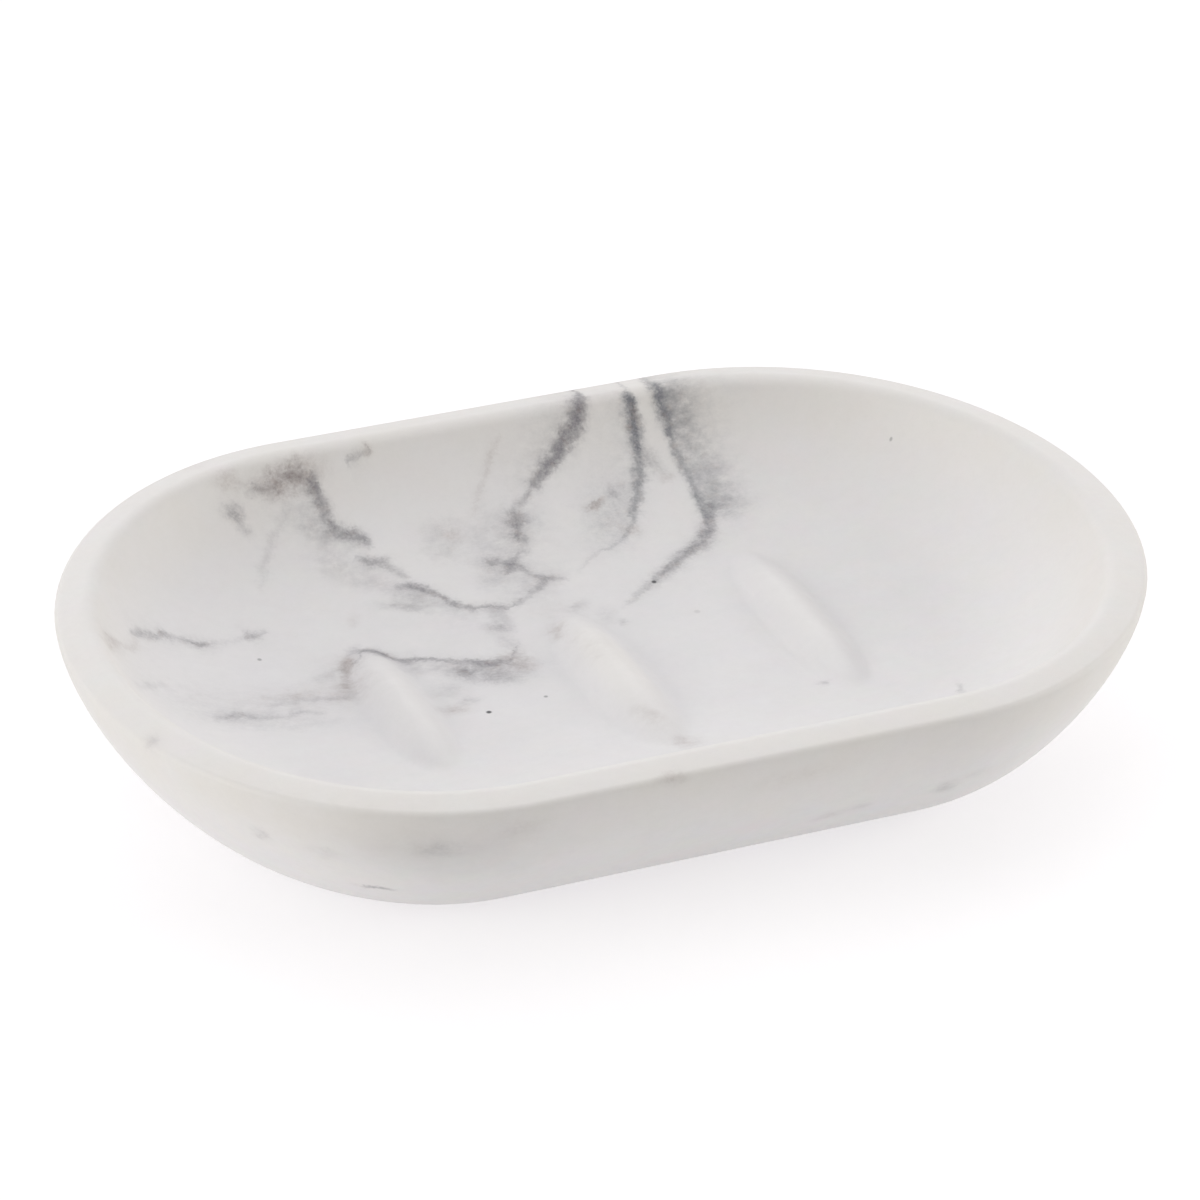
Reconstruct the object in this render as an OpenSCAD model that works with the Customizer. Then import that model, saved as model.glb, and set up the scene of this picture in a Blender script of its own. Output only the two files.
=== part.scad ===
// Oval soap dish cast in one piece, with three low ribs in its hollow and four soft pads under it.
// Origin: centre of the plane it rests on. +X runs along the dish, +Z points up.

/* [Dish] */
// Length over the rim, along X
dish_l = 133; // [115:1:160]
// Width over the rim, along Y
dish_w = 95; // [80:1:110]
// Height of the casting, from its underside to the rim
dish_h = 22; // [17:1:30]
// Length of the straight stretch in each long side
straight_l = 52; // [30:1:62]

/* [Rim] */
// Width of the rim, from the outer face to the edge of the hollow
rim_w = 4.5; // [3:0.5:8]
// How steeply the rim's top falls away to the outside, in degrees
rim_fall = 10; // [0:1:20]
// Radius on the rim's outer edge
rim_outer_r = 0.8; // [0.4:0.2:1.4]
// Radius on the rim's inner edge
rim_inner_r = 2; // [0.6:0.2:3]

/* [Outer wall] */
// How far the base is drawn in from the rim, all round
base_inset = 16; // [8:1:20]
// Roundness of the wall's section: 1 is a straight slope and 2 a quarter ellipse
wall_round = 1.4; // [1.2:0.05:2.4]

/* [Hollow] */
// Thickness of the casting under the middle of the hollow
floor_t = 8.4; // [5:0.2:11]
// Slope of the hollow's wall just below the rim, in degrees
wall_slope = 58; // [45:1:75]
// How far the hollow's wall keeps that slope before it turns into the floor
wall_run = 11; // [7:0.5:13]
// How far the level floor reaches out from the middle of the hollow
floor_run = 28; // [16:1:32]

/* [Ribs] */
// Distance from one rib to the next, along X
rib_pitch = 26.5; // [18:0.5:34]
// Length of the longest rib, along Y
rib_l = 36; // [20:1:44]
// Width of the widest rib
rib_w = 9.6; // [6:0.2:14]
// Height of the tallest rib over the floor
rib_h = 2.8; // [1:0.2:4]

/* [Pads] */
// Diameter of each pad
pad_d = 12; // [8:1:16]
// Thickness of each pad
pad_t = 1; // [0.6:0.2:3]

/* [Hidden] */
// Half the width, and the half ellipse that closes each end of the outline
half_w = dish_w / 2;
half_straight = straight_l / 2;
end_l = dish_l / 2 - half_straight;
rim_z = pad_t + dish_h;
floor_z = pad_t + floor_t;
// The left, middle and right rib: what share of the largest rib's size each one has, and how far
// its middle lies from the dish's long centre line, as a share of the rib's length
rib_places = [-1, 0, 1];
rib_length_shares = [0.87, 1, 1];
rib_width_shares = [0.9, 1, 0.9];
rib_height_shares = [0.86, 1, 0.86];
rib_shift_shares = [-0.04, -0.12, 0.04];
// How bluntly a rib's crest falls away at its ends, how little it narrows there, and how softly
// its shoulders run out into the floor
rib_end_power = 2.5;
rib_taper_power = 0.4;
rib_shoulder_power = 1.5;
// Where a pad's centre lies, as shares of the base's half width and of its rounded end
pad_y_share = 0.6;
pad_x_share = 0.35;
// The skin's steps round each end, along each straight side, and up each stretch of the section
end_steps = 20;
side_steps = 32;
wall_steps = 10;
edge_steps = 4;
hollow_steps = 26;
ring_points = 2 * (end_steps + side_steps);
pad_fn = 64;

// One level outline: straight sides closed by half ellipses, drawn in from the rim by a set
// distance at the ends and at the sides
function outline(end_in, side_in, z) = [
    for (i = [0 : end_steps]) let (a = 180 * i / end_steps - 90)
        [half_straight + (end_l - end_in) * cos(a), (half_w - side_in) * sin(a), z],
    for (i = [1 : side_steps - 1])
        [half_straight - straight_l * i / side_steps, half_w - side_in, z],
    for (i = [0 : end_steps]) let (a = 180 * i / end_steps + 90)
        [(end_l - end_in) * cos(a) - half_straight, (half_w - side_in) * sin(a), z],
    for (i = [1 : side_steps - 1])
        [straight_l * i / side_steps - half_straight, side_in - half_w, z]
];

// Section of the outer wall from the base up to the rim's edge: [distance drawn in, height]
function wall_section() = [
    for (i = [0 : wall_steps - 1])
        let (down = cos(90 * i / wall_steps))
        let (drawn = 1 - pow(1 - pow(down, wall_round), 1 / wall_round))
        [base_inset * drawn, pad_t + (wall_top_z - pad_t) * (1 - down)]
];

// The rim's highest line, so that the rim is rim_w wide where its inner radius turns out of sight
inner_edge_in = rim_w - rim_inner_r / 2;
// Where the sloping top meets the inner radius and the outer one
top_in = inner_edge_in - rim_inner_r * sin(rim_fall);
top_out = rim_outer_r * (1 - sin(rim_fall));
top_drop = (top_in - top_out) * tan(rim_fall);
// The wall ends, and the outer radius begins, at this height
wall_top_z = rim_z - rim_inner_r * (1 - cos(rim_fall)) - top_drop - rim_outer_r * cos(rim_fall);

// Section of the rim's rounded outer edge
function outer_edge_section() = [
    for (i = [0 : edge_steps]) let (a = (90 - rim_fall) * i / edge_steps)
        [rim_outer_r * (1 - cos(a)), wall_top_z + rim_outer_r * sin(a)]
];

// Section of the rim's rounded inner edge, down to the slope of the hollow's wall
function inner_edge_section() = [
    for (i = [0 : edge_steps]) let (a = (wall_slope + rim_fall) * i / edge_steps - rim_fall)
        [inner_edge_in + rim_inner_r * sin(a), rim_z - rim_inner_r * (1 - cos(a))]
];

// Section of the hollow, a curve from the rim's inner edge to the middle of the floor
function hollow_point(s) =
    let (top = inner_edge_section()[edge_steps])
    let (wall = top + wall_run * [cos(wall_slope), -sin(wall_slope)])
    let (flat = [half_w - floor_run, floor_z])
    let (middle = [half_w, floor_z])
    pow(1 - s, 3) * top + 3 * pow(1 - s, 2) * s * wall + 3 * (1 - s) * s * s * flat + s * s * s * middle;

// The ends of the hollow close in on the ends of the straight stretch as its sides meet
function hollow_outline(s) =
    let (p = hollow_point(s))
    let (edge_in = inner_edge_section()[edge_steps][0])
    let (share = (p[0] - edge_in) / (half_w - edge_in))
    outline(edge_in + share * (end_l - edge_in), p[0], p[1]);

// Height of one rib over the floor: a low arc along its length, and soft shoulders across it
function rib_rise(x, y, i) =
    let (half_l = rib_l * rib_length_shares[i] / 2)
    let (along = abs(y - rib_l * rib_shift_shares[i]) / half_l)
    let (arc = 1 - pow(min(along, 1), rib_end_power))
    let (half_wide = rib_w * rib_width_shares[i] / 2 * pow(arc, rib_taper_power))
    let (aside = arc > 0 ? abs(x - rib_pitch * rib_places[i]) / half_wide : 1)
    rib_h * rib_height_shares[i] * arc * pow(1 - pow(min(aside, 1), 2), rib_shoulder_power);

function with_ribs(ring) = [
    for (p = ring)
        [p[0], p[1], p[2] + rib_rise(p[0], p[1], 0) + rib_rise(p[0], p[1], 1) + rib_rise(p[0], p[1], 2)]
];

// Faces between one ring and the next
function band(k) = [
    for (i = [0 : ring_points - 1])
        let (a = k * ring_points + i)
        let (b = k * ring_points + (i + 1) % ring_points)
        for (face = [[a, a + ring_points, b + ring_points], [a, b + ring_points, b]]) face
];

// Faces across one ring, seen from above: the two straight sides are joined and each end is filled
function across(k) =
    let (first = k * ring_points)
    [
        for (i = [0 : side_steps - 1])
            let (a = first + end_steps + i)
            let (b = first + (ring_points - i) % ring_points)
            let (c = first + ring_points - i - 1)
            for (face = [[a, c, a + 1], [a, b, c]]) face,
        [for (i = [end_steps : -1 : 0]) first + i],
        [for (i = [end_steps : -1 : 0]) first + end_steps + side_steps + i]
    ];

function turned_over(faces) = [
    for (face = faces) [for (i = [len(face) - 1 : -1 : 0]) face[i]]
];

module dish() {
    section = concat(wall_section(), outer_edge_section(), inner_edge_section());
    outside = [for (p = section) outline(p[0], p[0], p[1])];
    // The last ring stops short of the middle, where it would close to a line
    hollow = [for (i = [1 : hollow_steps]) with_ribs(hollow_outline(i / (hollow_steps + 0.5)))];
    rings = concat(outside, hollow);
    points = [for (ring = rings) each ring];
    faces = concat(
        turned_over(across(0)),
        [for (k = [0 : len(rings) - 2]) each band(k)],
        across(len(rings) - 1)
    );
    color("whitesmoke")
        polyhedron(points, faces);
}

// One round pad, stuck to the base: side is 1 for right and -1 for left, depth 1 for back
module pad(side, depth) {
    base_end = end_l - base_inset;
    base_side = half_w - base_inset;
    color("lightgray")
        translate([side * (half_straight + base_end * pad_x_share), depth * base_side * pad_y_share, 0])
            cylinder(d = pad_d, h = pad_t, $fn = pad_fn);
}

module pad_front_left() {
    pad(-1, -1);
}

module pad_front_right() {
    pad(1, -1);
}

module pad_back_left() {
    pad(-1, 1);
}

module pad_back_right() {
    pad(1, 1);
}

dish();
pad_front_left();
pad_front_right();
pad_back_left();
pad_back_right();
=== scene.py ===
import math

import bmesh
import bpy
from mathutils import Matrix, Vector


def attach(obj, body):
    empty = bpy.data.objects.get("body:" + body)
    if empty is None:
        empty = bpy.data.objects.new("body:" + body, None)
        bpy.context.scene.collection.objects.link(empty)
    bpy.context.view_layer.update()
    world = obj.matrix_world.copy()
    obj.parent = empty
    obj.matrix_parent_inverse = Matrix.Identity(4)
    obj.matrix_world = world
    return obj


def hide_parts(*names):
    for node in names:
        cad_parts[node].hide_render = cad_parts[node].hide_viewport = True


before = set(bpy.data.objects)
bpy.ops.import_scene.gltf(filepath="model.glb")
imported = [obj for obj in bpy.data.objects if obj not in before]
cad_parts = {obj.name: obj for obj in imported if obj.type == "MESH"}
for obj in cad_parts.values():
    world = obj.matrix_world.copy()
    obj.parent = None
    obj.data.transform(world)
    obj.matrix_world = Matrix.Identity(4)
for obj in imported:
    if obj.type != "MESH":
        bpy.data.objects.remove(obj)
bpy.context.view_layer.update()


# Camera
# A long lens, a little above the dish and off to the left of its near side, so that the dish
# lies across the picture with its hollow open to the camera.
camera_azimuth = math.radians(-21.687)
camera_elevation = math.radians(28.894)
camera_distance = 0.6406
camera_aim = Vector((0.0046, 0.013, 0.011))
camera_lens = 155.1
camera_sensor = 36
camera_near = 0.01

towards_camera = Vector((
    math.sin(camera_azimuth) * math.cos(camera_elevation),
    -math.cos(camera_azimuth) * math.cos(camera_elevation),
    math.sin(camera_elevation),
))
bpy.ops.object.select_all(action="DESELECT")
bpy.ops.object.camera_add(
    location=camera_aim + towards_camera * camera_distance,
    rotation=towards_camera.to_track_quat("Z", "Y").to_euler(),
)
camera = bpy.context.object
camera.name = "camera"
camera.data.sensor_width = camera_sensor
camera.data.lens = camera_lens
camera.data.clip_start = camera_near
bpy.context.scene.camera = camera
bpy.context.scene.view_settings.view_transform = "Standard"


# Studio light
# Two large soft boxes stand low at the left and the right, and the room glows softly from above
# and behind. The camera's side is left dark, so that the near wall is the dish's darkest face.
soft_box_width = 0.8
soft_box_height = 0.55
soft_box_colour = (1, 0.98, 0.94)
room_colour = (0.99, 0.985, 1, 1)
backdrop_white = (1, 1, 1, 1)


def towards(azimuth, elevation):
    """The direction of a place seen from the dish, with azimuth 0 on its near side."""
    azimuth, elevation = math.radians(azimuth), math.radians(elevation)
    return Vector((
        math.sin(azimuth) * math.cos(elevation),
        -math.cos(azimuth) * math.cos(elevation),
        math.sin(elevation),
    ))


def soft_box(name, azimuth, elevation, watts):
    """A soft box one metre from the dish, turned to face it."""
    away = towards(azimuth, elevation)
    bpy.ops.object.select_all(action="DESELECT")
    bpy.ops.object.light_add(
        type="AREA", location=away, rotation=away.to_track_quat("Z", "Y").to_euler()
    )
    box = bpy.context.object
    box.name = name
    box.data.shape = "RECTANGLE"
    box.data.size = soft_box_width
    box.data.size_y = soft_box_height
    box.data.energy = watts
    box.data.color = soft_box_colour


soft_box("light_left", -80, 16, 4.35)
soft_box("light_right", 70, 16, 5.25)

world = bpy.data.worlds.new("studio")
bpy.context.scene.world = world
world.use_nodes = True
world_nodes = world.node_tree.nodes
world_links = world.node_tree.links
room = world_nodes["Background"]
room.inputs["Color"].default_value = room_colour
looking = world_nodes.new("ShaderNodeTexCoord").outputs["Generated"]


def room_maths(operation, first, second):
    node = world_nodes.new("ShaderNodeMath")
    node.operation = operation
    for value, socket in zip((first, second), node.inputs):
        if isinstance(value, bpy.types.NodeSocket):
            world_links.new(value, socket)
        else:
            socket.default_value = value
    return node.outputs["Value"]


# Each glow is a direction in the room, how closely it keeps to it, and how bright it is there
room_light = 0.0
for direction, closeness, strength in (
    (towards(170, 20), 4, 1.36),
    (towards(0, 90), 4, 1.25),
    (towards(135, 20), 6, 0.28),
    (towards(-100, 36), 12, 1.05),
):
    facing = world_nodes.new("ShaderNodeVectorMath")
    facing.operation = "DOT_PRODUCT"
    world_links.new(looking, facing.inputs[0])
    facing.inputs[1].default_value = direction
    glow = room_maths("POWER", room_maths("MAXIMUM", facing.outputs["Value"], 0), closeness)
    room_light = room_maths("ADD", room_maths("MULTIPLY", glow, strength), room_light)
world_links.new(room_light, room.inputs["Strength"])

backdrop = world_nodes.new("ShaderNodeBackground")
backdrop.inputs["Color"].default_value = backdrop_white
backdrop.inputs["Strength"].default_value = 1
what_sees_it = world_nodes.new("ShaderNodeLightPath")
seen = world_nodes.new("ShaderNodeMixShader")
world_links.new(what_sees_it.outputs["Is Camera Ray"], seen.inputs["Fac"])
world_links.new(room.outputs["Background"], seen.inputs[1])
world_links.new(backdrop.outputs["Background"], seen.inputs[2])
world_links.new(seen.outputs["Shader"], world_nodes["World Output"].inputs["Surface"])


# Floor
# A sheet of pale board with a light panel under it, as on a light table. The panel's faint glow
# fills in the dish's lower wall, and the board reads as white and keeps the dish's soft shadow.
floor_size = 4
board_grey = (0.6, 0.6, 0.6, 1)
panel_colour = (1, 0.98, 1, 1)
panel_glow = 0.38
# How far from the middle the panel's glow starts to fade and where it has gone
panel_fade = (0.06, 0.16)
# How much the board is lifted towards white where the camera sees it
board_lift = 0.5

bpy.ops.object.select_all(action="DESELECT")
bpy.ops.mesh.primitive_plane_add(size=floor_size, location=(0, 0, 0))
floor = bpy.context.object
floor.name = "floor"
board = bpy.data.materials.new("white_board")
board.use_nodes = True
board_nodes = board.node_tree.nodes
board_links = board.node_tree.links
board_skin = board_nodes["Principled BSDF"]
board_skin.inputs["Base Color"].default_value = board_grey
board_skin.inputs["Roughness"].default_value = 1
board_skin.inputs["Emission Color"].default_value = panel_colour
from_middle = board_nodes.new("ShaderNodeVectorMath")
from_middle.operation = "LENGTH"
board_links.new(board_nodes.new("ShaderNodeTexCoord").outputs["Object"], from_middle.inputs[0])
panel = board_nodes.new("ShaderNodeMapRange")
panel.interpolation_type = "SMOOTHSTEP"
panel.inputs["From Min"].default_value = panel_fade[0]
panel.inputs["From Max"].default_value = panel_fade[1]
panel.inputs["To Min"].default_value = panel_glow
panel.inputs["To Max"].default_value = 0
board_links.new(from_middle.outputs["Value"], panel.inputs["Value"])
board_path = board_nodes.new("ShaderNodeLightPath")
board_glow = board_nodes.new("ShaderNodeMix")
board_links.new(board_path.outputs["Is Camera Ray"], board_glow.inputs["Factor"])
board_links.new(panel.outputs["Result"], board_glow.inputs["A"])
board_glow.inputs["B"].default_value = board_lift
board_links.new(board_glow.outputs["Result"], board_skin.inputs["Emission Strength"])
floor.data.materials.append(board)


# The casting
# One piece of white resin filled with marble powder, cast in a mould together with its three
# ribs and rubbed down to a matte skin. A quarter of it is drawn out ring by ring from the edge of
# the base, up the wall, over the rim and down the hollow, and then mirrored both ways.
dish_length = 0.133
dish_width = 0.095
casting_height = 0.022
straight_length = 0.052
pad_thickness = 0.001
rim_width = 0.0045
rim_fall = math.radians(10)
rim_outer_radius = 0.0008
rim_inner_radius = 0.002
base_inset = 0.016
wall_round = 1.4
floor_thickness = 0.0084
wall_slope = math.radians(58)
wall_run = 0.011
floor_run = 0.028

half_width = dish_width / 2
half_straight = straight_length / 2
end_length = dish_length / 2 - half_straight
rim_height = pad_thickness + casting_height
rim_crest_in = rim_width - rim_inner_radius / 2
top_in = rim_crest_in - rim_inner_radius * math.sin(rim_fall)
top_out = rim_outer_radius * (1 - math.sin(rim_fall))
wall_top = (
    rim_height
    - rim_inner_radius * (1 - math.cos(rim_fall))
    - (top_in - top_out) * math.tan(rim_fall)
    - rim_outer_radius * math.cos(rim_fall)
)
floor_height = pad_thickness + floor_thickness

arc_steps = 32
straight_steps = 40
underside_steps = 6
wall_steps = 28
edge_steps = 8
hollow_steps = 96
tiny = 1e-6


# Each ring is how far it is drawn in from the rim at the ends and at the sides, and its height
def outer_wall_rings():
    rings = []
    for step in range(wall_steps + 1):
        down = max(math.cos(math.pi / 2 * step / wall_steps), 0)
        drawn = base_inset * (1 - (1 - down ** wall_round) ** (1 / wall_round))
        rings.append((drawn, drawn, pad_thickness + (wall_top - pad_thickness) * (1 - down)))
    return rings


def rim_rings():
    rings = []
    for step in range(1, edge_steps + 1):
        turn = (math.pi / 2 - rim_fall) * step / edge_steps
        drawn = rim_outer_radius * (1 - math.cos(turn))
        rings.append((drawn, drawn, wall_top + rim_outer_radius * math.sin(turn)))
    for step in range(edge_steps + 1):
        turn = (wall_slope + rim_fall) * step / edge_steps - rim_fall
        drawn = rim_crest_in + rim_inner_radius * math.sin(turn)
        rings.append((drawn, drawn, rim_height - rim_inner_radius * (1 - math.cos(turn))))
    return rings


def hollow_rings(start):
    """The hollow, a curve from the rim's inner edge down to the middle of the floor."""
    edge_in, _, edge_height = start
    top = Vector((edge_in, edge_height))
    wall = top + wall_run * Vector((math.cos(wall_slope), -math.sin(wall_slope)))
    flat = Vector((half_width - floor_run, floor_height))
    middle = Vector((half_width, floor_height))
    rings = []
    for step in range(1, hollow_steps + 1):
        s = step / hollow_steps
        r = 1 - s
        point = r ** 3 * top + 3 * r ** 2 * s * wall + 3 * r * s ** 2 * flat + s ** 3 * middle
        share = (point.x - edge_in) / (half_width - edge_in)
        rings.append((edge_in + share * (end_length - edge_in), point.x, point.y))
    return rings


def select_where(piece, test):
    """Selects the vertices, and what lies between them, whose place passes the test."""
    cage = bmesh.from_edit_mesh(piece.data)
    for vertex in cage.verts:
        vertex.select = test(vertex.co)
    cage.select_flush_mode()
    bmesh.update_edit_mesh(piece.data)


rings = outer_wall_rings() + rim_rings()
rings += hollow_rings(rings[-1])
end_centre = Vector((half_straight, 0, 0))

bpy.ops.object.select_all(action="DESELECT")
bpy.ops.mesh.primitive_circle_add(vertices=4 * arc_steps, radius=1, location=(0, 0, 0))
dish = bpy.context.object
dish.name = "marbled_dish"
bpy.ops.object.mode_set(mode="EDIT")
bpy.ops.mesh.select_mode(type="VERT")
select_where(dish, lambda co: co.x < -tiny or co.y < -tiny)
bpy.ops.mesh.delete(type="VERT")
bpy.ops.mesh.select_all(action="SELECT")
end_in, side_in, height = rings[0]
bpy.ops.transform.resize(
    value=(end_length - end_in, half_width - side_in, 1), center_override=(0, 0, 0)
)
bpy.ops.transform.translate(value=(half_straight, 0, height))
for ring, next_ring in zip(rings, rings[1:]):
    rise = next_ring[2] - ring[2]
    bpy.ops.mesh.extrude_edges_move(TRANSFORM_OT_translate={"value": (0, 0, rise)})
    bpy.ops.transform.resize(
        value=(
            (end_length - next_ring[0]) / (end_length - ring[0]),
            (half_width - next_ring[1]) / (half_width - ring[1]),
            1,
        ),
        center_override=end_centre,
    )
select_where(dish, lambda co: co.z < pad_thickness + tiny)
for step in range(underside_steps, 0, -1):
    bpy.ops.mesh.extrude_edges_move(TRANSFORM_OT_translate={"value": (0, 0, 0)})
    smaller = (step - 1) / step
    bpy.ops.transform.resize(value=(smaller, smaller, 1), center_override=end_centre)
bpy.ops.mesh.select_all(action="SELECT")
bpy.ops.mesh.remove_doubles(threshold=tiny)
select_where(dish, lambda co: abs(co.x - half_straight) < tiny)
for step in range(straight_steps):
    one_step = (-half_straight / straight_steps, 0, 0)
    bpy.ops.mesh.extrude_edges_move(TRANSFORM_OT_translate={"value": one_step})
bpy.ops.object.mode_set(mode="OBJECT")

both_ways = dish.modifiers.new("both_ways", "MIRROR")
both_ways.use_axis = (True, True, False)
both_ways.merge_threshold = 10 * tiny
bpy.ops.object.modifier_apply(modifier=both_ways.name)
bpy.ops.object.mode_set(mode="EDIT")
bpy.ops.mesh.select_all(action="SELECT")
bpy.ops.mesh.remove_doubles(threshold=tiny)
bpy.ops.mesh.normals_make_consistent(inside=False)
bpy.ops.object.mode_set(mode="OBJECT")

# The ribs swell out of the floor: a low arc along each one, with soft shoulders. Each is given by
# the middle of its crest, its half length, its half width and its height.
rib_height = 0.0028
ribs = [
    ((-0.0265, -0.00125), 0.0157, 0.0043, 0.86),
    ((0.0, -0.0043), 0.018, 0.0048, 1.0),
    ((0.0265, 0.00144), 0.018, 0.0043, 0.86),
]
rib_end_power = 2.5
rib_taper_power = 0.4
rib_shoulder_power = 1.5

swelling = dish.vertex_groups.new(name="ribs")
for vertex in dish.data.vertices:
    if vertex.co.z < floor_height - tiny:
        continue
    for (rib_x, rib_y), half_long, half_wide, height_share in ribs:
        along = abs(vertex.co.y - rib_y) / half_long
        if along >= 1:
            continue
        arc = 1 - along ** rib_end_power
        aside = abs(vertex.co.x - rib_x) / (half_wide * arc ** rib_taper_power)
        if aside < 1:
            lift = height_share * arc * (1 - aside ** 2) ** rib_shoulder_power
            swelling.add([vertex.index], lift, "REPLACE")
raise_ribs = dish.modifiers.new("raise_ribs", "DISPLACE")
raise_ribs.direction = "Z"
raise_ribs.mid_level = 0
raise_ribs.strength = rib_height
raise_ribs.vertex_group = swelling.name
bpy.ops.object.modifier_apply(modifier=raise_ribs.name)
dish.vertex_groups.clear()
bpy.ops.object.shade_smooth()


# The resin's finish
# White resin through which grey and brown pigment was swirled before it set: drawn-out veins with
# smoky edges, thin clouds of pigment beside them, and a few specks of grit. Painted light and
# shade
# are tinted over the white as well: the tints below and the grey wash in the hollow.
mm_in_a_metre = 1000
resin_white = (0.812, 0.800, 0.794)
# Painted warm light, laid round the rim and the tops of the walls
painted_warm_light_cream = (0.802, 0.776, 0.736, 1)
# A painted highlight, paler, along the ribs' crests
painted_crest_highlight = (0.865, 0.848, 0.822, 1)
# Painted cool light, laid over the hollow
hollow_painted_cool_light = (0.812, 0.802, 0.811, 1)
# A painted pool of light, paler, towards the left of the hollow
painted_light_pool_white = (0.865, 0.853, 0.864, 1)
# The grey of the veins, and of the painted shade washed over the hollow
vein_and_painted_shade_grey = (0.150, 0.142, 0.165, 1)
vein_brown = (0.235, 0.165, 0.138, 1)
vein_blue = (0.134, 0.142, 0.168, 1)
speck_black = (0.03, 0.03, 0.035, 1)

number = "NodeSocketFloat"
vector = "NodeSocketVector"


def connect(tree, value, socket):
    if isinstance(value, bpy.types.NodeSocket):
        tree.links.new(value, socket)
    else:
        socket.default_value = value


def place(tree, kind, **inputs):
    """Adds a node and sets its inputs, given as numbers or as another node's socket."""
    node = tree.nodes.new(kind)
    for name, value in inputs.items():
        connect(tree, value, node.inputs[name.replace("_", " ")])
    return node


def maths(tree, operation, *values, clamp=False):
    node = tree.nodes.new("ShaderNodeMath")
    node.operation = operation
    node.use_clamp = clamp
    for value, socket in zip(values, node.inputs):
        connect(tree, value, socket)
    return node.outputs["Value"]


def vector_maths(tree, operation, *values, scale=1.0):
    node = tree.nodes.new("ShaderNodeVectorMath")
    node.operation = operation
    if operation == "SCALE":
        node.inputs["Scale"].default_value = scale
    for value, socket in zip(values, node.inputs):
        connect(tree, value, socket)
    return node.outputs["Value" if operation == "DOT_PRODUCT" else "Vector"]


def new_group(name, inputs, output):
    """A node group with these inputs, by name and kind, and one output."""
    group = bpy.data.node_groups.new(name, "ShaderNodeTree")
    for socket_name, kind in inputs.items():
        group.interface.new_socket(name=socket_name, in_out="INPUT", socket_type=kind)
    group.interface.new_socket(name=output[0], in_out="OUTPUT", socket_type=output[1])
    given = group.nodes.new("NodeGroupInput").outputs
    result = group.nodes.new("NodeGroupOutput").inputs[0]
    return group, given, result


def use_group(tree, group, **inputs):
    node = tree.nodes.new("ShaderNodeGroup")
    node.node_tree = group
    for name, value in inputs.items():
        connect(tree, value, node.inputs[name.capitalize()])
    return node.outputs[0]


def fading(tree, distance):
    """1 at no distance, falling away to 0."""
    return maths(tree, "EXPONENT", maths(tree, "MULTIPLY", distance, -1))


# One vein: a grainy line, broader where it is darker, that thins out into wisps of smoke on
# both sides. Where it has all but faded it keeps a share of its width.
faded_share = 0.4
vein_line, given, density = new_group(
    "vein_line",
    {"Aside": number, "Strength": number, "Width": number, "Smoke": number,
     "Left": number, "Right": number, "Grain": number, "Wisps": number},
    ("Density", number),
)
width_share = maths(vein_line, "MULTIPLY_ADD", given["Strength"], 1 - faded_share, faded_share)
broadened = maths(vein_line, "MULTIPLY", given["Width"], width_share)
off_line = maths(vein_line, "DIVIDE", given["Aside"], broadened)
core = fading(vein_line, maths(vein_line, "MULTIPLY", off_line, off_line))
on_left = maths(vein_line, "GREATER_THAN", given["Aside"], 0)
wider_left = maths(vein_line, "SUBTRACT", given["Left"], given["Right"])
reach = maths(vein_line, "MULTIPLY_ADD", on_left, wider_left, given["Right"])
away = maths(vein_line, "DIVIDE", maths(vein_line, "ABSOLUTE", given["Aside"]), reach)
smoke = maths(vein_line, "MULTIPLY", given["Smoke"], fading(vein_line, away))
line = maths(vein_line, "MULTIPLY", core, given["Grain"])
both = maths(vein_line, "MULTIPLY_ADD", smoke, given["Wisps"], line)
vein_line.links.new(maths(vein_line, "MULTIPLY", both, given["Strength"]), density)

# A cloud or a speck: an oval patch with a soft or a hard edge. Each of its axes is as long as 1
# over the patch's size that way.
patch, given, density = new_group(
    "patch",
    {"Spot": vector, "Centre": vector, "Along": vector, "Across": vector, "Up": vector,
     "Strength": number, "Hardness": number, "Grain": number},
    ("Density", number),
)
away = vector_maths(patch, "SUBTRACT", given["Spot"], given["Centre"])
squared = 0.0
for axis in ("Along", "Across", "Up"):
    part = vector_maths(patch, "DOT_PRODUCT", away, given[axis])
    squared = maths(patch, "MULTIPLY_ADD", part, part, squared)
edge = maths(patch, "POWER", squared, given["Hardness"])
body = maths(patch, "MULTIPLY", fading(patch, edge), given["Strength"])
patch.links.new(maths(patch, "MULTIPLY", body, given["Grain"]), density)

# Noise about 1, shared by everything that is grainy or smoky
grain_roughness = 0.65
noise_middle = 0.5
uneven, given, level = new_group(
    "uneven",
    {"Spot": vector, "Scale": number, "Detail": number, "Contrast": number},
    ("Level", number),
)
noise = place(
    uneven, "ShaderNodeTexNoise",
    Vector=given["Spot"], Scale=given["Scale"], Detail=given["Detail"], Roughness=grain_roughness,
)
centred = maths(uneven, "SUBTRACT", noise.outputs["Fac"], noise_middle)
about_one = maths(uneven, "MULTIPLY_ADD", centred, given["Contrast"], 1)
uneven.links.new(maths(uneven, "MAXIMUM", about_one, 0), level)

resin = bpy.data.materials.new("marbled_resin_with_painted_light")
resin.use_nodes = True
tree = resin.node_tree
resin_skin = tree.nodes["Principled BSDF"]
noise_roughness = 0.6


def noise_at(spot, frequency, detail):
    return place(
        tree, "ShaderNodeTexNoise",
        Vector=spot, Scale=frequency, Detail=detail, Roughness=noise_roughness,
    )


def coloured_noise(spot, frequency, detail, strength):
    """Three noises about 0, one for each channel."""
    noise = noise_at(spot, frequency, detail)
    centred = vector_maths(tree, "SUBTRACT", noise.outputs["Color"], (noise_middle,) * 3)
    return vector_maths(tree, "SCALE", centred, scale=strength)


def led_astray(spot, frequency, by):
    """The same places, each moved up to half of so many millimetres by noise."""
    return vector_maths(tree, "ADD", spot, coloured_noise(spot, frequency, 2, by))


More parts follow.
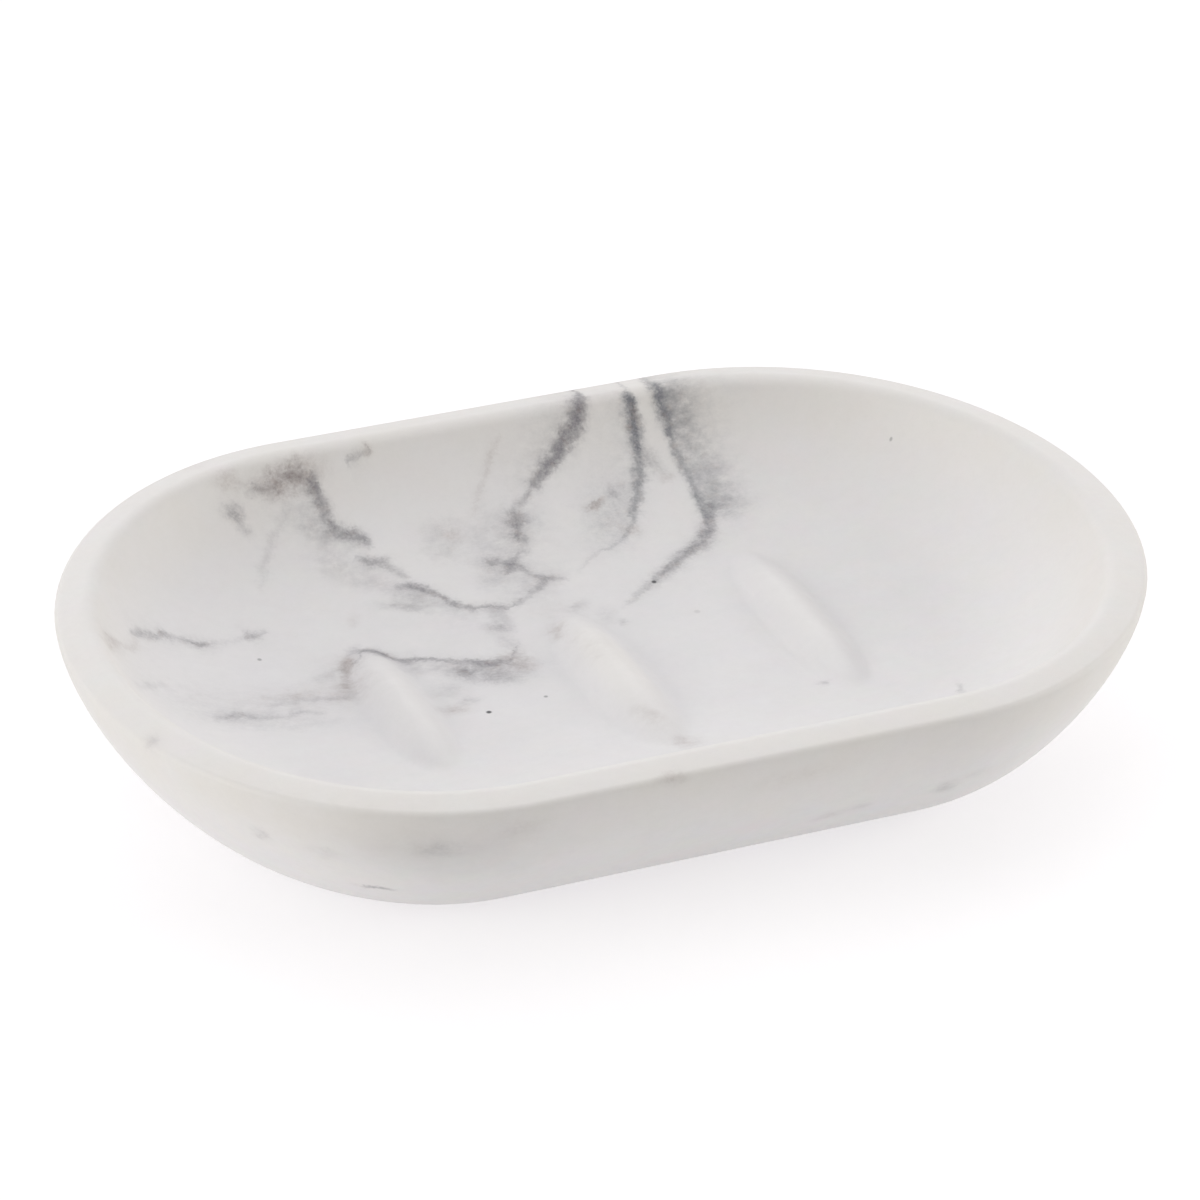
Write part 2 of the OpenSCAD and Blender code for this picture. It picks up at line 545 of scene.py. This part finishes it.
# Places on the dish in millimetres, and the same places led astray, so that what is drawn on
# them gets ragged edges
on_dish = place(tree, "ShaderNodeTexCoord").outputs["Object"]
in_mm = vector_maths(tree, "SCALE", on_dish, scale=mm_in_a_metre)
swayed = led_astray(in_mm, frequency=0.45, by=1.5)
astray = led_astray(swayed, frequency=1.9, by=1.0)

# Fine grit, coarser clots, and wisps that are drawn out along the dish. Smoke keeps only a share
# of the grit.
drawn_turn = 0.15
drawn_scale = (0.7, 1, 1)
smoke_grit = 0.45
grit = use_group(tree, uneven, spot=in_mm, scale=3.0, detail=2, contrast=1.5)
clots = use_group(tree, uneven, spot=in_mm, scale=0.8, detail=3, contrast=2.2)
drawn_out = place(
    tree, "ShaderNodeMapping", Vector=in_mm, Rotation=(0, 0, drawn_turn), Scale=drawn_scale
).outputs["Vector"]
streaks = use_group(tree, uneven, spot=drawn_out, scale=0.8, detail=4, contrast=3.4)
haze = use_group(tree, uneven, spot=drawn_out, scale=0.12, detail=3, contrast=1.6)
grain = maths(tree, "MULTIPLY", grit, clots)
soft_grit = maths(tree, "MULTIPLY_ADD", grit, smoke_grit, 1 - smoke_grit)
wisps = maths(tree, "MULTIPLY", soft_grit, streaks)

# How much of each pigment there is, added up as the veins and clouds are laid down
pigments = {"grey": 0.0, "brown": 0.0, "blue": 0.0, "black": 0.0}


def lay_down(pigment, amount):
    pigments[pigment] = maths(tree, "ADD", pigments[pigment], amount)


def curve_through(points, along):
    """A float curve through the given places, which stays level beyond its ends."""
    node = place(tree, "ShaderNodeFloatCurve", Value=along)
    node.mapping.extend = "HORIZONTAL"
    node.mapping.use_clip = False
    curve = node.mapping.curves[0]
    curve.points[0].location = points[0]
    curve.points[1].location = points[-1]
    for point in points[1:-1]:
        curve.points.new(*point)
    for point in curve.points:
        point.handle_type = "AUTO_CLAMPED"
    node.mapping.update()
    return node.outputs["Value"]


# How far past its ends a vein runs out, as a share of its length
run_out = 0.03


def vein(route, width, smoke, left, right, pigment="grey", dark=1.0):
    """Draws a vein along a route of places and strengths: how wide its line is, how dense its
    smoke is and how far that reaches on each side, where left is as one walks along the route."""
    start = Vector(route[0][:2])
    along = Vector(route[-1][:2]) - start
    length = along.length
    along.normalize()
    left_hand = Vector((-along.y, along.x))
    steps = []
    for x, y, strength in route:
        step = Vector((x, y)) - start
        steps.append((step.dot(along) / length, step.dot(left_hand), strength * dark))
    margin = 1
    lowest = min(aside for _, aside, _ in steps) - margin
    band = max(aside for _, aside, _ in steps) + margin - lowest
    origin = start + left_hand * lowest
    away = vector_maths(tree, "SUBTRACT", astray, (origin.x, origin.y, 0))
    travelled = vector_maths(tree, "DOT_PRODUCT", away, (along.x / length, along.y / length, 0))
    sideways = vector_maths(tree, "DOT_PRODUCT", away, (left_hand.x / band, left_hand.y / band, 0))
    course = curve_through([(t, (aside - lowest) / band) for t, aside, _ in steps], travelled)
    fades = [(t, strength) for t, _, strength in steps]
    strength = curve_through([(-run_out, 0), *fades, (1 + run_out, 0)], travelled)
    aside = maths(tree, "MULTIPLY", maths(tree, "SUBTRACT", sideways, course), band)
    lay_down(pigment, use_group(
        tree, vein_line, aside=aside, strength=strength, width=width, smoke=smoke,
        left=left, right=right, grain=grain, wisps=wisps,
    ))


right_through = 1e6


def cloud(
    x, y, long, wide, turn, strength,
    pigment="grey", texture=wisps, height=0, tall=right_through, spot=astray, hardness=1,
):
    """An oval patch of pigment: where its middle is, half its size along and across, how many
    degrees it is turned and how dense it is. It goes right through the dish unless its height
    and how tall it is are given."""
    turn_cos, turn_sin = math.cos(math.radians(turn)), math.sin(math.radians(turn))
    lay_down(pigment, use_group(
        tree, patch, spot=spot, centre=(x, y, height),
        along=(turn_cos / long, turn_sin / long, 0),
        across=(-turn_sin / wide, turn_cos / wide, 0),
        up=(0, 0, 1 / tall),
        strength=strength, hardness=hardness, grain=texture,
    ))


# The veins. Each step is a place in millimetres along and across the dish, and how dark the vein
# is there.
# From the far left corner down to the middle rib
vein(
    [(-32.6, 40, 0.2), (-30.2, 40.5, 0.6), (-28.5, 40.7, 0.7), (-26.5, 41.2, 0.85),
     (-25, 41.1, 0.9), (-24, 40.8, 0.8), (-22.8, 40.2, 0.5)],
    width=1.0, smoke=0.3, left=0.8, right=2.2, dark=0.6,
)
cloud(-26.6, 41.0, 3.8, 1.0, 8, 0.8, pigment="brown", texture=grain)
vein(
    [(-23.6, 40.8, 0.5), (-23.2, 39.4, 0.75), (-22.7, 37.4, 0.7), (-22.3, 35.6, 0.8),
     (-21.2, 34.8, 0.85), (-20, 34.3, 0.85), (-19.0, 33.2, 0.5), (-18.4, 32.2, 0.1)],
    width=0.9, smoke=0.4, left=0.6, right=2.2, dark=1.25,
)
vein(
    [(-21.0, 31.2, 0.25), (-19.4, 30.4, 0.65), (-18.2, 29.8, 0.6), (-17.2, 28.6, 0.4),
     (-16.2, 27.2, 0.35), (-15.6, 26.4, 0.1)],
    width=1.15, smoke=0.4, left=0.6, right=2.4, dark=0.9,
)
vein(
    [(-17.6, 25.4, 0.35), (-16.4, 25, 0.75), (-15.4, 24.3, 1.0), (-14.3, 23.6, 0.95),
     (-13.5, 22.4, 0.75), (-12.9, 21, 0.75), (-12.1, 19.9, 0.85), (-11, 18.9, 0.8),
     (-9.9, 18.2, 0.7), (-8.8, 18.2, 0.6), (-7.5, 17.7, 0.65), (-6.3, 17.3, 0.55),
     (-5.2, 17.8, 0.4), (-4, 18.3, 0.3)],
    width=0.78, smoke=0.42, left=0.6, right=2.0,
)
# From the middle of the far rim, and where it frays over the middle rib's end
vein(
    [(14.3, 47.5, 0.3), (14.3, 45.6, 0.5), (14.2, 44.4, 0.8), (13.9, 43.4, 0.9), (13.2, 42.3, 1.1),
     (12.2, 41.2, 1.1), (11, 40.5, 1.15), (9.5, 39.5, 1.05), (8.3, 38.8, 1.0), (7, 37.9, 0.88),
     (5.7, 37.1, 0.7), (4.5, 36.2, 0.55), (3.2, 35.1, 0.35), (2.4, 34.2, 0.2)],
    width=0.64, smoke=0.34, left=0.8, right=2.0, dark=1.4,
)
vein(
    [(2.4, 41.6, 0.05), (1.2, 40.6, 0.2), (-0.4, 39.2, 0.25), (-1.8, 37.6, 0.15),
     (-3.2, 35.8, 0.15), (-4.4, 34, 0.05)],
    width=0.7, smoke=0.5, left=1.0, right=1.0, pigment="brown", dark=0.7,
)
vein(
    [(2.2, 35.2, 0.1), (1.5, 34, 0.3), (1.0, 32.6, 0.6), (0.6, 31.2, 0.4), (0.2, 29.8, 0.65),
     (0.3, 28.2, 0.3), (-0.8, 26.9, 0.3), (-2.2, 26.0, 0.5), (-2.9, 25.0, 0.6), (-3.4, 24.0, 0.3)],
    width=0.95, smoke=0.3, left=1.8, right=2.6,
)
vein(
    [(-5.2, 26.4, 0.3), (-3.6, 26.0, 0.5), (-2.2, 25.2, 0.45), (-1.3, 24, 0.4), (-0.5, 22.8, 0.4),
     (0.6, 21.7, 0.45), (1.8, 21.1, 0.4), (3.0, 20.3, 0.1)],
    width=0.8, smoke=0.4, left=1.6, right=2.4,
)
vein(
    [(0.8, 21.6, 0.3), (-0.7, 20.3, 0.36), (-2, 19.2, 0.3), (-3.2, 18.2, 0.3), (-5, 17.4, 0.3)],
    width=0.8, smoke=0.4, left=1.0, right=1.5,
)
# The two that run side by side down the far wall, and the long one's turn to the left
vein(
    [(20.6, 47.5, 0.25), (20.6, 44.6, 0.25), (20.6, 43.4, 0.45), (20.6, 42.4, 1.0),
     (20.4, 41, 1.35), (20.2, 39.6, 1.3), (19.8, 38, 1.15), (19.3, 36.4, 1.1), (18.7, 34.9, 1.15),
     (17.8, 33.2, 1.1), (16.8, 31.6, 1.0), (16.0, 30.0, 0.75), (15.0, 28.4, 0.45),
     (13.8, 26.8, 0.45), (12.2, 25.6, 0.3), (10.8, 25.0, 0.3), (9.2, 24.8, 0.25),
     (8.0, 24.0, 0.15), (6.4, 22.6, 0.12), (5.2, 21.6, 0.05)],
    width=0.66, smoke=0.3, left=0.6, right=2.6, pigment="blue", dark=0.94,
)
vein(
    [(20.2, 43.4, 0.2), (20.1, 42.2, 0.8), (20.0, 40.8, 1.0), (19.8, 39.4, 0.8),
     (19.4, 37.8, 0.2)],
    width=0.9, smoke=0.1, left=0.8, right=0.8, pigment="blue",
)
vein(
    [(23.8, 47.5, 0.35), (23.9, 45.5, 0.4), (24.0, 44, 0.75), (24.3, 42.6, 1.15), (24.5, 41, 1.1),
     (24.6, 39.4, 0.85), (24.7, 37.8, 0.65), (24.9, 36, 0.55), (25.1, 34, 0.5), (25.1, 32, 0.55),
     (25.1, 30.2, 0.6), (25.0, 28.8, 0.6), (24.8, 27.4, 0.5), (24.3, 26.2, 0.2)],
    width=0.82, smoke=0.85, left=3.2, right=0.3, pigment="blue", dark=1.05,
)
vein(
    [(26.6, 29.6, 0.2), (25.8, 28.0, 0.4), (25.0, 26.4, 0.8), (24.2, 25.0, 1.05),
     (23.1, 23.7, 1.1), (21.9, 22.5, 1.05), (20.4, 21.5, 1.0), (18.8, 20.7, 0.95),
     (17.3, 19.6, 0.9), (15.8, 18.4, 0.8), (14.2, 17.3, 0.65), (12.9, 16.4, 0.55),
     (11.4, 15.3, 0.4), (10, 14.1, 0.3), (8.8, 13.1, 0.2), (7.6, 12.3, 0.08)],
    width=0.92, smoke=0.3, left=1.2, right=1.0,
)
# Over the left rib's end and out over the floor
vein(
    [(-31.0, 6.4, 0.4), (-30.1, 8.6, 0.4), (-29.5, 10.6, 0.7), (-28.8, 12.4, 0.45),
     (-28.2, 13.6, 0.1)],
    width=1.0, smoke=0.5, left=1.8, right=1.4, pigment="brown", dark=0.9,
)
vein(
    [(-28.6, 10.7, 0.3), (-27.6, 11.4, 0.4), (-26.6, 12.7, 0.4), (-25.4, 12.7, 0.6),
     (-24.3, 11.7, 0.95), (-23.4, 10.8, 0.8), (-22.2, 10.1, 0.85), (-20.8, 9.8, 0.8),
     (-19.4, 9.4, 0.7), (-18, 8.4, 0.65), (-16.6, 7.7, 0.65), (-15.2, 7.0, 0.7), (-14, 6.4, 0.75),
     (-13, 5.9, 0.7), (-12, 5.3, 0.6), (-10.5, 5.4, 0.5), (-9.6, 6.4, 0.4), (-8.6, 7.6, 0.35),
     (-8.0, 9, 0.1)],
    width=0.6, smoke=0.35, left=0.8, right=1.6,
)
vein(
    [(-46.4, 6.4, 0.15), (-44, 6.6, 0.2), (-42.3, 6.4, 0.35), (-41.3, 6.5, 0.7), (-40, 6.7, 0.4),
     (-38.6, 6.5, 0.35), (-37.2, 6.4, 0.65), (-36, 6.1, 0.45), (-34.8, 6.2, 0.5),
     (-33.4, 5.8, 0.5), (-32.2, 5.6, 0.5), (-31.2, 6.2, 0.6), (-30.2, 6.8, 0.6),
     (-29.2, 6.4, 0.3)],
    width=0.9, smoke=0.45, left=1.2, right=2.0, pigment="brown", dark=0.12,
)
vein(
    [(-42, 4.4, 0.15), (-38, 4.9, 0.3), (-35.4, 4.9, 0.35), (-33.2, 4.5, 0.4), (-31.6, 4.1, 0.45),
     (-30.4, 4.6, 0.2)],
    width=1.0, smoke=0.4, left=1.4, right=1.2, dark=0.44,
)
vein(
    [(-49.4, 1.2, 0.15), (-47.2, 2.3, 0.4), (-45.8, 2.6, 0.65), (-44.3, 1.9, 0.5),
     (-43, 1.8, 0.35), (-41.4, 1.9, 0.35), (-40, 1.7, 0.3), (-38.6, 2.4, 0.45), (-37.4, 2.2, 0.35),
     (-35.6, 1.6, 0.1)],
    width=1.0, smoke=0.4, left=1.4, right=2.0, dark=0.6,
)
# Along the left end
vein(
    [(-54.8, 16.4, 0.25), (-53.4, 17.3, 0.65), (-52.2, 17.9, 0.65), (-51, 18.4, 0.7),
     (-49.8, 19, 0.75), (-48.6, 19.2, 0.38), (-47.4, 18.9, 0.35), (-46.4, 18.5, 0.6),
     (-45.2, 18.2, 0.6), (-44, 18.6, 0.28), (-42.4, 19, 0.16), (-41, 19.3, 0.14),
     (-39.6, 20, 0.26), (-38.4, 20.3, 0.8), (-37.6, 20.3, 0.5), (-36.2, 21.0, 0.1)],
    width=0.85, smoke=0.35, left=1.2, right=1.4, dark=0.8,
)
vein(
    [(-60.4, 6.6, 0.15), (-59.4, 9, 0.45), (-58.4, 10.8, 0.55), (-57.6, 11.9, 0.4),
     (-56.6, 12.2, 0.3), (-55.4, 13.2, 0.3), (-54.4, 15.6, 0.15)],
    width=1.1, smoke=0.4, left=1.4, right=1.4, pigment="brown", dark=0.55,
)
vein(
    [(-58.4, 2.4, 0.15), (-57, 4.4, 0.3), (-55.8, 5.8, 0.45), (-54.6, 7, 0.35), (-53, 8.2, 0.15)],
    width=1.0, smoke=0.4, left=1.4, right=1.4, dark=0.36,
)
vein(
    [(-27.0, 39.0, 0.2), (-28.6, 37.2, 0.3), (-30.4, 35.6, 0.4), (-31.6, 33.8, 0.3),
     (-32.6, 32.2, 0.35), (-33.6, 30.4, 0.25), (-34.6, 28, 0.05)],
    width=1.2, smoke=0.4, left=1.4, right=1.4, dark=0.45,
)
vein(
    [(-18.4, 41.3, 0.15), (-17.4, 41.6, 0.35), (-16.4, 41.9, 0.35), (-15.2, 42.3, 0.25)],
    width=0.6, smoke=0.3, left=0.5, right=0.8,
)

# A thin grey wash held to the hollow, which is painted shade darkening the recess, with a haze of
# pigment adding to it on the left, and clouds of pigment beside the veins. Each has its middle,
# its size along and across in millimetres, its turn and its strength.
cloud(-2, 1, 53, 37, 0, 0.08, texture=haze, height=12, tall=9, spot=in_mm, hardness=3)
cloud(-24, 8, 26, 22, 0, 0.05, texture=haze)
cloud(-40, 4, 9, 4, -5, 0.10)
cloud(-34.6, 38.2, 1.2, 0.8, 10, 0.7, texture=grain)
cloud(-33.9, 37.0, 1.2, 0.8, -50, 0.4, texture=grain)
cloud(-34.2, 40.9, 1.5, 0.8, 10, 0.4, pigment="brown", texture=grain)
cloud(-15.4, 42.2, 0.6, 0.5, 20, 0.35, pigment="brown", texture=grain)
cloud(-9.4, 33.0, 2.2, 1.2, 20, 0.28)
cloud(-7.8, 31.7, 1.0, 0.8, 0, 0.3, pigment="brown", texture=grain)
cloud(-10.2, 29.8, 2.0, 1.4, 0, 0.2)
cloud(-5.0, 31.0, 5.5, 3.0, 20, 0.12)
cloud(-24.6, 36.0, 2.4, 1.4, -40, 0.3)
cloud(-24.0, 31.0, 2.2, 2.4, -20, 0.22)
cloud(-20.6, 27.2, 3.4, 1.8, -30, 0.2)
cloud(-18.6, 21.5, 3.0, 0.8, -14, 0.24)
cloud(-16.2, 22.6, 3.2, 1.6, -40, 0.3)
cloud(-18.8, 30.0, 1.6, 0.9, -10, 0.35, texture=grain)
cloud(-17.6, 20.7, 2.2, 0.6, -35, 0.3)
cloud(-25.4, 20.4, 1.4, 0.8, 60, 0.12, pigment="brown")
cloud(-8.6, 13.2, 1.5, 1.0, -25, 0.6, texture=grain)
cloud(-7.6, 15.4, 1.2, 1.6, 10, 0.4)
cloud(-9.0, 9.6, 1.2, 2.6, 10, 0.25)
cloud(-2.8, 25.6, 1.8, 1.3, 10, 0.2, texture=grain)
cloud(-5.2, 26.7, 1.2, 0.9, 10, 0.32, texture=grain)
cloud(0.7, 32.2, 1.6, 1.2, 10, 0.62, texture=grain)
cloud(0.2, 29.9, 1.1, 0.9, 0, 0.5, texture=grain)
cloud(0.8, 32.8, 0.9, 0.7, 0, 0.35, pigment="brown", texture=grain)
cloud(-5.2, 23.6, 2.6, 2.6, 10, 0.25)
cloud(-2.4, 28.6, 3.4, 3.4, 30, 0.18)
cloud(-1.0, 20.6, 3.4, 1.6, 30, 0.25)
cloud(2.4, 31.6, 2.6, 3.0, 0, 0.15)
cloud(12.8, 30.0, 3.2, 5.0, -20, 0.3, pigment="blue", texture=grain)
cloud(14.9, 33.8, 1.2, 0.8, 25, 0.45, texture=grain)
cloud(12.2, 32.5, 0.9, 0.5, 25, 0.6, pigment="brown", texture=grain)
cloud(11.2, 32.0, 0.8, 0.5, 0, 0.4, pigment="brown", texture=grain)
cloud(14.6, 27.6, 1.2, 0.8, -40, 0.4, pigment="brown", texture=grain)
cloud(21.0, 36.9, 1.7, 1.1, -35, 0.5, texture=grain)
cloud(22.3, 34.6, 1.0, 0.7, 0, 0.3, pigment="brown", texture=grain)
cloud(28.0, 32.6, 2.4, 5.5, 5, 0.38, pigment="blue")
cloud(27.6, 29.0, 2.4, 1.8, 10, 0.3, pigment="blue")
cloud(26.0, 29.0, 1.0, 1.8, 0, 0.2, texture=grain)
cloud(26.8, 40.6, 2.0, 3.0, 0, 0.32, pigment="blue")
cloud(-25.3, 12.4, 2.0, 1.1, -50, 0.95, texture=grain)
cloud(-27.2, 13.6, 0.8, 1.0, 0, 0.5)
cloud(-35.2, 5.2, 6.5, 2.2, -6, 0.11, pigment="brown")
cloud(-37.4, 6.2, 1.4, 1.2, 0, 0.22, pigment="brown", texture=grain)
cloud(-31.4, 5.0, 2.0, 1.8, 20, 0.2, pigment="brown")
cloud(-32.2, 9.6, 3.0, 1.0, 10, 0.2)
cloud(-45.6, 2.2, 3.6, 1.4, 0, 0.25)
cloud(-50.2, 4.6, 4.5, 5.0, -20, 0.1)
cloud(-40.0, -0.6, 6.0, 1.2, -4, 0.12)
cloud(-46.0, 18.3, 1.8, 1.0, -10, 0.35, texture=grain)
cloud(-16.4, 4.8, 1.4, 1.2, -15, 0.95, texture=grain)
cloud(-13.2, 5.6, 2.2, 1.0, -20, 0.65, texture=grain)
cloud(-12.8, 4, 4.6, 2.4, -12, 0.45)
cloud(-13.6, 2.3, 2.8, 1.2, -20, 0.55, texture=grain)
cloud(-9.8, 5.4, 2.2, 1.8, 35, 0.5, pigment="brown")
cloud(-8.8, 3.4, 1.2, 1.0, 0, 0.4, pigment="brown", texture=grain)
cloud(-18.2, 6.4, 2.4, 1.2, -20, 0.3)
cloud(-20.6, -3.2, 1.9, 1.0, -8, 0.4, pigment="brown")
cloud(-18.2, -1.8, 1.1, 0.8, 20, 0.4)
cloud(-19.8, 1.2, 2.2, 1.8, -20, 0.22)
cloud(-22.0, 8.0, 1.6, 2.0, 0, 0.18)
cloud(-2.6, 9.2, 0.9, 2.0, -15, 0.35, pigment="brown")
cloud(-0.6, 14.4, 2.6, 3.4, -10, 0.08, pigment="brown")
cloud(2.4, 14.4, 1.4, 0.8, 30, 0.3)
cloud(6.2, 9.0, 0.5, 0.9, 0, 0.3)
cloud(5.0, 11.4, 1.2, 2.2, -20, 0.16)
cloud(-1.2, 2.0, 2.0, 6.5, 8, 0.08, pigment="brown")
cloud(1.4, -22.6, 1.4, 1.4, 0, 0.4, pigment="brown")
cloud(-0.7, -16.5, 1.2, 3.0, 15, 0.2, pigment="brown")
cloud(22.8, -14.2, 0.8, 0.5, 0, 0.4, texture=grain)
cloud(36.2, -24.4, 0.4, 1.8, -15, 0.3, texture=grain)

# Faint marks on the near wall and the rim, each at its own height
cloud(-37, -44.5, 13.0, 7.0, -12, 0.2, texture=haze, height=16, tall=5)
cloud(-37.5, -44.2, 3.0, 2.0, -15, 0.24, height=17, tall=1.4)
cloud(-28.5, -46.6, 3.0, 2.0, 0, 0.12, height=19.5, tall=1.5, pigment="brown")
cloud(-54, -30.8, 1.2, 1.0, 40, 0.3, height=15, tall=1.0)
cloud(-49, -36.5, 1.0, 1.0, 40, 0.25, height=13, tall=0.5)
cloud(-42, -35.2, 2.2, 1.5, 10, 0.7, height=8, tall=0.35)
cloud(-62.8, -18.4, 1.2, 1.0, 60, 0.3, height=22.6, tall=1.0)
cloud(-10.8, -47.4, 1.6, 0.8, 0, 0.32, height=22.2, tall=0.6, pigment="brown")
cloud(-48.3, -36.3, 1.6, 1.0, -40, 0.14, height=14.6, tall=0.8)
cloud(5, -46.6, 5.0, 1.6, 0, 0.08, height=18.6, tall=1.2, pigment="brown")
cloud(-38, 45.4, 2.2, 1.6, 10, 0.14, height=23, tall=1.5, pigment="brown")
cloud(26.3, -41.8, 1.3, 1.4, 0, 0.3, height=9.5, tall=1.5)
cloud(29.6, -42.8, 1.4, 1.2, 0, 0.13, height=11.2, tall=0.9)
cloud(15.6, -41.4, 1.2, 1.2, 0, 0.14, height=9.3, tall=1.0)
cloud(11.8, -40.8, 1.8, 1.2, 0, 0.15, height=8.6, tall=1.0)

# Specks of grit
speck_hardness = 2.5
for x, y, size, strength in (
    (-17.0, -5.3, 0.34, 0.95), (-9.3, -4.3, 0.26, 0.5), (13.3, 16.6, 0.32, 0.9),
    (-39.1, 15.1, 0.28, 0.45), (50.2, 26.7, 0.2, 0.4), (15.7, 8.3, 0.4, 0.15),
):
    cloud(
        x, y, size, size, 0, strength,
        pigment="black", texture=1, spot=in_mm, hardness=speck_hardness,
    )


def tint(under, over, share):
    """One colour laid over another. The node's sockets for colours go by their numbers."""
    mix = tree.nodes.new("ShaderNodeMix")
    mix.data_type = "RGBA"
    mix.clamp_factor = True
    under_socket, over_socket, mixed = mix.inputs[6], mix.inputs[7], mix.outputs[2]
    connect(tree, share, mix.inputs["Factor"])
    connect(tree, under, under_socket)
    connect(tree, over, over_socket)
    return mixed


# The white itself is faintly blotched with warmer and cooler patches, and finely dusted. Painted
# light is then tinted over it: a painted warm light round the rim and the tops of the walls, a
# painted cool light over the hollow, a paler painted pool of light towards the left of the hollow,
# and a paler painted highlight along the ribs' crests. Each tint has its colour, its middle, its
# reach along, across and up in millimetres, where 0 is no limit, its strength, how hard its edge
# is, and its grain.
blotch_strength = 0.065
dust_strength = 0.02
painted_light_tints = (
    # Painted warm light round the rim and the tops of the walls
    (painted_warm_light_cream, (0, 0, 20), (0, 0, 6), 0.7, 1, haze),
    # Painted cool light over the hollow
    (hollow_painted_cool_light, (0, 0, 18), (57, 40, 10), 1, 3, 1),
    # Painted pool of light, paler, towards the left of the hollow
    (painted_light_pool_white, (-43, 10, 14), (17, 22, 11), 0.8, 1, 1),
    # Painted highlight, paler, along the ribs' crests
    (painted_crest_highlight, (0, 0, 12.2), (36, 22, 1.4), 1, 1, 1),
)


def alike(tree, value):
    """A vector with the same value three times."""
    return place(tree, "ShaderNodeCombineXYZ", X=value, Y=value, Z=value).outputs["Vector"]


white = vector_maths(tree, "ADD", resin_white, coloured_noise(in_mm, 0.22, 4, blotch_strength))
for tint_colour, centre, reaches, strength, hardness, texture in painted_light_tints:
    along, across, up = (1 / reach if reach else 0 for reach in reaches)
    share = use_group(
        tree, patch, spot=in_mm, centre=centre,
        along=(along, 0, 0), across=(0, across, 0), up=(0, 0, up),
        strength=strength, hardness=hardness, grain=texture,
    )
    # From here the white carries painted light as well as the resin's own colour
    white = tint(white, tint_colour, share)
dusting = maths(tree, "MULTIPLY_ADD", maths(tree, "SUBTRACT", grain, 1), -dust_strength, 1)
white = vector_maths(tree, "MULTIPLY", white, alike(tree, dusting))

# Pigment hides the white as thin paint does, and turns brown here and there
covering_power = 0.75
rust_threshold = 0.53
rust_sharpness = 4
rust_share = 0.6
next_to_none = 0.01

brown, blue = pigments["brown"], pigments["blue"]
pigment = maths(tree, "ADD", maths(tree, "ADD", pigments["grey"], blue), brown)
shows_through = fading(tree, maths(tree, "MULTIPLY", pigment, covering_power))
hidden = maths(tree, "SUBTRACT", 1, shows_through)
rust = maths(tree, "SUBTRACT", noise_at(in_mm, 0.7, 3).outputs["Fac"], rust_threshold)
rust = maths(tree, "MULTIPLY", rust, rust_sharpness, clamp=True)
in_all = maths(tree, "ADD", pigment, next_to_none)
brown_share = maths(tree, "DIVIDE", brown, in_all)
brownness = maths(tree, "MULTIPLY_ADD", rust, rust_share, brown_share)
blueness = maths(tree, "DIVIDE", blue, in_all)
swirled = tint(tint(vein_and_painted_shade_grey, vein_blue, blueness), vein_brown, brownness)
colour = tint(tint(white, swirled, hidden), speck_black, pigments["black"])
tree.links.new(colour, resin_skin.inputs["Base Color"])

# The skin is matte, a little uneven in its sheen, and very slightly pitted
sheen_change = 0.06
sheen_least = 0.46
pit_strength = 0.1
pit_depth = 0.00005

roughness = maths(tree, "MULTIPLY_ADD", clots, sheen_change, sheen_least)
tree.links.new(roughness, resin_skin.inputs["Roughness"])
pits = place(tree, "ShaderNodeBump", Height=grit, Strength=pit_strength, Distance=pit_depth)
tree.links.new(pits.outputs["Normal"], resin_skin.inputs["Normal"])

dish.data.materials.append(resin)
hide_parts("dish")
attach(dish, "root")


# The pads
# Four soft discs punched from sheet foam and stuck under the base. They keep their CAD solids, and
# their skin shows the foam's cells as a fine grain.
foam_grey = (0.62, 0.62, 0.61)
foam_roughness = 0.8
cell_share = 0.12
worn_share = 0.2
cell_strength = 0.4
cell_depth = 0.0001

pad_foam = bpy.data.materials.new("pad_foam")
pad_foam.use_nodes = True
foam = pad_foam.node_tree
pad_skin = foam.nodes["Principled BSDF"]
pad_skin.inputs["Roughness"].default_value = foam_roughness
on_pad = place(foam, "ShaderNodeTexCoord").outputs["Object"]
pad_mm = vector_maths(foam, "SCALE", on_pad, scale=mm_in_a_metre)
cells = use_group(foam, uneven, spot=pad_mm, scale=4.0, detail=2, contrast=1.6)
worn = use_group(foam, uneven, spot=pad_mm, scale=0.35, detail=3, contrast=0.8)
cell_level = maths(foam, "MULTIPLY_ADD", cells, cell_share, 1 - cell_share)
worn_level = maths(foam, "MULTIPLY_ADD", worn, worn_share, 1 - worn_share)
foam_shade = alike(foam, maths(foam, "MULTIPLY", cell_level, worn_level))
foam_colour = vector_maths(foam, "MULTIPLY", foam_grey, foam_shade)
foam.links.new(foam_colour, pad_skin.inputs["Base Color"])
foam_bump = place(
    foam, "ShaderNodeBump", Height=cells, Strength=cell_strength, Distance=cell_depth
)
foam.links.new(foam_bump.outputs["Normal"], pad_skin.inputs["Normal"])
for name in ("pad_front_left", "pad_front_right", "pad_back_left", "pad_back_right"):
    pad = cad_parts[name]
    pad.data.materials.clear()
    pad.data.materials.append(pad_foam)
